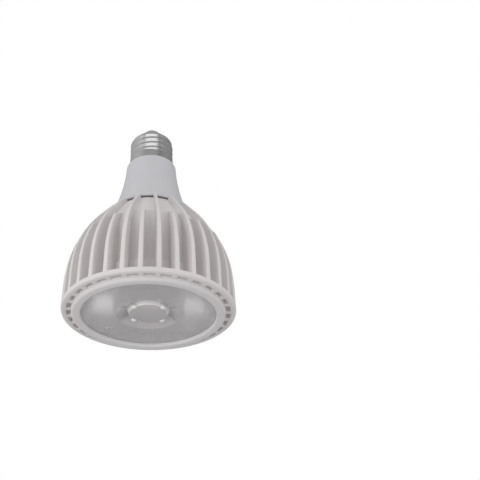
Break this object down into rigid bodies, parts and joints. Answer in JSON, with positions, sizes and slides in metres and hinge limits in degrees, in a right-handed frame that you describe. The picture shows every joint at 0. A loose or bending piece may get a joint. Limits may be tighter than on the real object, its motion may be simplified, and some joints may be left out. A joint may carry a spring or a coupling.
{
  "type": "led reflector lamp",
  "caption": "Reflector spotlight bulb with a white finned heat sink, flared neck, Edison screw cap and a flat clear collimating lens held by a front ring.",
  "frame": {"origin": "centre of the lens ring's front face, on which the lamp stands", "axes": "+Z along the lamp's axis, from the lens towards the screw cap; an air slot faces -Y"},
  "size_m": [0.095, 0.095, 0.1301],
  "materials": {
    "paint_white": "satin white coat on die-cast aluminium",
    "housing_white": "smooth moulded plastic",
    "ring_white": "smooth moulded plastic",
    "nickel_plate": "rolled sheet, nickel plated",
    "insulator_grey": "moulded insulator",
    "contact_metal": "pressed metal",
    "lens_clear": "clear moulded acrylic, polished",
    "holder_white": "moulded plastic",
    "phosphor_yellow": "silicone with yellow phosphor",
    "carrier_metal": "metal carrier with white solder mask",
    "pad_grey": "silicone heat pad",
    "screw_steel": "zinc-plated steel",
    "board_green": "glass-fibre laminate with solder mask",
    "ferrite_dark": "sintered ferrite",
    "winding_tape": "winding under polyester tape",
    "can_sleeve": "aluminium can in a shrink sleeve",
    "film_box": "boxed film capacitor",
    "chip_black": "moulded epoxy",
    "fuse_body": "lacquered ceramic",
    "wire_red": "insulated wire",
    "wire_black": "insulated wire",
    "wire_brown": "insulated wire",
    "wire_blue": "insulated wire"
  },
  "bodies": {
    "root": {"heat_sink": "paint_white", "driver_housing": "housing_white", "screw_shell": "nickel_plate", "cap_insulator": "insulator_grey", "centre_contact": "contact_metal", "lens_ring": "ring_white", "lens": "lens_clear", "cob_holder": "holder_white", "phosphor_layer": "phosphor_yellow", "cob_board": "carrier_metal", "thermal_pad": "pad_grey", "holder_screws": "screw_steel", "housing_screws": "screw_steel", "driver_board": "board_green", "transformer_core": "ferrite_dark", "transformer_coil": "winding_tape", "bulk_capacitor": "can_sleeve", "output_capacitor": "can_sleeve", "film_capacitor": "film_box", "input_choke": "ferrite_dark", "bridge_rectifier": "chip_black", "fuse_resistor": "fuse_body", "driver_chip": "chip_black", "led_lead_positive": "wire_red", "led_lead_negative": "wire_black", "live_lead": "wire_brown", "neutral_lead": "wire_blue"}
  },
  "joints": []
}
